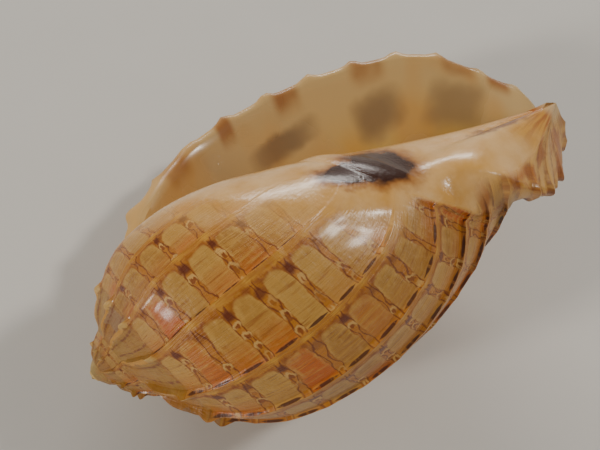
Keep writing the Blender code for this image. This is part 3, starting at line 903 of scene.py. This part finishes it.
def outer_material():
    """Glossy aragonite of the outside, coloured row by row between the ribs, under a glaze of callus.

    The mantle lays the colour down along the growth lines, so the pattern follows the rib
    count and the row, and reads from the growth map. Between two ribs each row holds a
    patch, a rounded rectangle, and a chain of pale crescents runs along each whole row.
    The eye gets satin ribs on the open outside and a clear gloss on the callus.
    """
    material, put = new_material("glazed_aragonite_outside")
    at = pattern_places(put)
    patch_colour, reach = patches(put, at)
    ground_colour = chain_links(put, at, ground(put, at, reach))
    patch = put("MapRange", reach, 0.93, 1.03, 1.0, 0.0, **SMOOTHLY)
    colour = put("MixRGB", patch, ground_colour, patch_colour)
    colour, top = ribs(put, at, chain_blotch(put, at, colour))
    colour = spire_side(put, at, colour, top)
    # The open outside is a little warmer all over.
    colour = put("MixRGB", 1.0, colour, "#FDEFC2", blend_type="MULTIPLY")
    colour, valley, brown = front_ridge(put, at, colour)
    colour, veil = callus_glaze(put, at, colour, valley, brown)
    colour, core = callus_marks(put, at, colour)

    # Relief too fine for the mesh: growth lines a few hundredths of a millimetre high, and
    # under the glaze a soft unevenness, half a millimetre wide.
    peel = put("Math:MULTIPLY", put("TexNoise", at.place, None, 2200.0, 2.0, 0.5)[0], 0.35)
    lined = put("Math:ADD", at.fine, put("Math:ADD", at.lines, at.mottle))
    relief = put("MixRGB", put("Math:MULTIPLY", veil, 0.9), lined, peel)
    rough = put("MapRange", at.lines, 0.3, 0.7, 0.36, 0.50)
    rough = put("MixRGB", veil, rough, (0.23, 0.23, 0.23, 1.0))

    tree = material.node_tree
    shader = tree.nodes["Principled BSDF"]
    tree.links.new(colour, shader.inputs["Base Color"])
    tree.links.new(rough, shader.inputs["Roughness"])
    tree.links.new(put("Bump", 0.9, 0.00010, None, relief), shader.inputs["Normal"])
    tree.links.new(put("MapRange", core, 0.0, 1.0, 0.2, 0.0), shader.inputs["Coat Weight"])
    shader.inputs["IOR"].default_value = ARAGONITE_IOR
    shader.inputs["Coat Roughness"].default_value = 0.15
    return material


def enamel_material():
    """The smooth inside of the mouth: porcelain-like aragonite, cream and mustard, with dark blotches.

    The outside's pattern shows through, blurred. The eye gets a soft gloss, duller on the rim.
    """
    material, put = new_material("porcelain_aragonite_inside")
    growth = put("UVMap", uv_map="growth")
    place = put("TexCoord")[3]
    _, row, _ = put("SeparateXYZ", growth)
    rim, deep, _ = put("SeparateXYZ", put("UVMap", uv_map="coat"))

    # Cream at the lip, mustard deeper in, with clouds about 8 mm across.
    depth = put("MapRange", deep, 0.01, 0.13, 0.0, 1.0, **SMOOTHLY)
    cloud, tint = put("TexNoise", place, None, 120.0, 3.0, 0.55)
    colour = put("MixRGB", depth, "#CEAE79", "#CAA043")
    colour = put("MixRGB", put("MapRange", cloud, 0.42, 0.62, 0.0, 0.5), colour, "#BFA276")
    seen_through = put("TexNoise", growth, None, 0.9, 1.0, 0.4)[0]
    colour = put("MixRGB", put("MapRange", seen_through, 0.45, 0.65, 0.0, 0.4), colour, "#C98C3A")

    # Blurred grey-brown blotches, 4 to 6 mm across, where the dark of the outside shows through.
    moved = ragged(put, place, tint, 0.004)
    for centre, turn, half_sizes, strength in MOUTH_BLOTCHES:
        blotch = put("Mapping", moved, centre, (0.0, 0.0, turn), half_sizes, vector_type="TEXTURE")
        far = put("VectorMath:LENGTH", put("VectorMath:MULTIPLY", blotch, blotch))
        colour = put("MixRGB", put("MapRange", far, 2.3, 0.1, 0.0, strength, **SMOOTHLY), colour, "#6F5745")

    near_lip = put("MapRange", deep, 0.024, 0.003, 0.0, 0.8, **SMOOTHLY)
    marks = 0.0
    for middle, half in LIP_MARKS:
        off = put("Math:ABSOLUTE", put("Math:SUBTRACT", row, middle))
        mark = put("MapRange", off, half, 0.4 * half, 0.0, 1.0, **SMOOTHLY)
        marks = put("Math:MAXIMUM", marks, mark)
    marks = put("Math:MULTIPLY", marks, put("MapRange", cloud, 0.35, 0.55, 0.5, 1.0))
    colour = put("MixRGB", put("Math:MULTIPLY", near_lip, marks), colour, "#94561F")
    edge = put("MapRange", rim, 0.1, 0.6, 0.0, 1.0, **SMOOTHLY)
    edge_colour = put("MixRGB", put("Math:MULTIPLY", marks, 0.55), "#D8AE6E", "#A8682A")
    colour = put("MixRGB", edge, colour, edge_colour)
    # A little warmer all over.
    colour = put("MixRGB", 1.0, colour, "#FFF9EA", blend_type="MULTIPLY")
    rough = put("MixRGB", edge, put("MapRange", cloud, 0.3, 0.7, 0.2, 0.32), (0.5, 0.5, 0.5, 1.0))

    tree = material.node_tree
    shader = tree.nodes["Principled BSDF"]
    tree.links.new(colour, shader.inputs["Base Color"])
    tree.links.new(rough, shader.inputs["Roughness"])
    shader.inputs["IOR"].default_value = ARAGONITE_IOR
    shader.inputs["Coat Weight"].default_value = 0.1
    shader.inputs["Coat Roughness"].default_value = 0.12
    return material


def floor_material():
    """Matt painted board: pale, without gloss, with faint specks about 11 mm across."""
    material, put = new_material("matt_painted_board")
    speckle = put("TexNoise", put("TexCoord")[3], None, 90.0, 2.0, 0.5)[0]
    shader = material.node_tree.nodes["Principled BSDF"]
    colour = put("MixRGB", speckle, "#D9D6D0", "#DEDBD5")
    material.node_tree.links.new(colour, shader.inputs["Base Color"])
    shader.inputs["Roughness"].default_value = 0.9
    return material


def placed(name, data):
    """Puts the data into the scene as a new object."""
    item = bpy.data.objects.new(name, data)
    bpy.context.collection.objects.link(item)
    return item


def make_shell():
    """The shell's one piece, in place of the CAD solid."""
    data = build_skin()
    finish_skin(data)
    data.materials.append(outer_material())
    data.materials.append(enamel_material())
    piece = placed("shell_surface", data)
    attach(piece, "root")
    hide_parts("shell")


def make_floor():
    """A flat square, 3 m wide, at the shell's resting height."""
    data = bpy.data.meshes.new("floor")
    corners = [(1.5 * x, 1.5 * y, 0.0) for x, y in ((-1, -1), (1, -1), (1, 1), (-1, 1))]
    data.from_pydata(corners, [], [(0, 1, 2, 3)])
    data.materials.append(floor_material())
    board = placed("floor", data)


# The camera in the shell's own axes: its place in millimetres, and the ways that are right and up in
# its picture and into it. Its focal length is given for a picture of this width, both in pixels.
CAMERA_AT = (85.36135, 0.32579, -16.87)
CAMERA_RIGHT = (0.0848552, -0.5450358, -0.8341077)
CAMERA_UP = (0.0697125, 0.8383231, -0.5406983)
CAMERA_VIEW = (-0.9939516, 0.0122667, -0.1091318)
FOCAL_PIXELS = 830.0
WIDTH_PIXELS = 600.0
SENSOR_WIDTH = 36.0
NEAREST = 0.005

# The soft boxes: bearing and height in degrees, width and height in metres, watts and colour. They
# stand at one distance and look at the middle of the shell, at this height.
LIGHTS = {
    "window": (60.0, 22.0, 0.46, 0.05, 2.4, (1.0, 0.97, 0.92)),
    "lamp": (-22.0, 50.0, 0.08, 0.08, 1.7, (1.0, 0.96, 0.9)),
    "left": (176.0, 22.0, 0.09, 0.14, 2.2, (1.0, 0.96, 0.9)),
}
LIGHT_DISTANCE = 0.7
AIM_HEIGHT = 0.015
SURROUND = 0.34


def make_camera():
    """The camera, carried with the shell into its rest pose."""
    pose = rest_pose()
    data = bpy.data.cameras.new("camera")
    data.sensor_width = SENSOR_WIDTH
    data.lens = SENSOR_WIDTH * FOCAL_PIXELS / WIDTH_PIXELS
    data.clip_start = NEAREST
    camera = placed("camera", data)
    axes = [pose.to_3x3() @ Vector(axis) for axis in (CAMERA_RIGHT, CAMERA_UP, CAMERA_VIEW)]
    axes[2].negate()
    matrix = Matrix(axes).transposed().to_4x4()
    matrix.translation = pose @ (Vector(CAMERA_AT) * MM)
    camera.matrix_world = matrix
    bpy.context.scene.camera = camera


def make_light(name, bearing, height, wide, tall, power, colour):
    """A soft box: an area light that looks at the shell from a bearing and a height in degrees."""
    data = bpy.data.lights.new(name, "AREA")
    data.shape = "RECTANGLE"
    data.size = wide
    data.size_y = tall
    data.energy = power
    data.color = colour
    light = placed(name, data)
    a, h = math.radians(bearing), math.radians(height)
    way = Vector((math.cos(a) * math.cos(h), math.sin(a) * math.cos(h), math.sin(h)))
    light.location = way * LIGHT_DISTANCE + Vector((0.0, 0.0, AIM_HEIGHT))
    light.rotation_euler = way.to_track_quat("Z", "Y").to_euler()


def make_lights():
    """The soft boxes and a pale surround."""
    for name, light in LIGHTS.items():
        make_light(name, *light)
    world = bpy.data.worlds.new("surround")
    world.use_nodes = True
    background = world.node_tree.nodes["Background"]
    background.inputs["Color"].default_value = linear("#CFCBC4")
    background.inputs["Strength"].default_value = SURROUND
    bpy.context.scene.world = world


make_floor()
make_shell()
make_camera()
make_lights()
